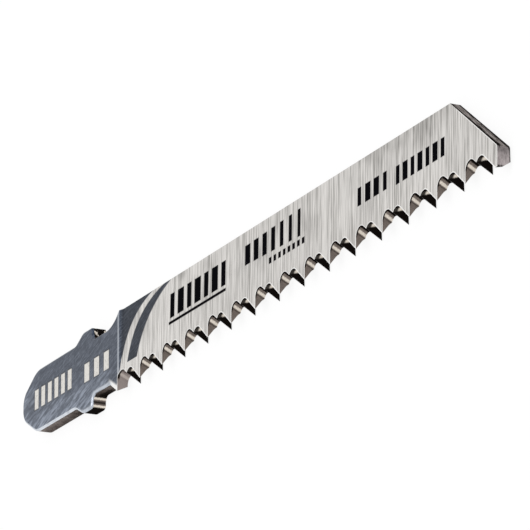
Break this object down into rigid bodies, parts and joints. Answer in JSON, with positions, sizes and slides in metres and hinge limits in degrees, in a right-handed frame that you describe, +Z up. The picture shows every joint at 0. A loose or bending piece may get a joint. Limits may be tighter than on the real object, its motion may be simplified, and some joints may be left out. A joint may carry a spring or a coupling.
{
  "type": "jigsaw blade",
  "caption": "Reverse-tooth jigsaw blade with a two-lug tang, taper-ground faces and teeth bevelled from alternate sides, for cutting laminated board.",
  "frame": {"origin": "middle of the underside of the blade's bounding box, on the surface that the blade lies on", "axes": "+X along the blade from the tang to the tip, +Y from the tooth points to the spine, +Z up out of the front face, with the back face down"},
  "size_m": [0.0984, 0.0082, 0.0015],
  "materials": {
    "steel": "ground bare steel, blued at the shank"
  },
  "bodies": {
    "root": {"blade": "steel"}
  },
  "joints": []
}
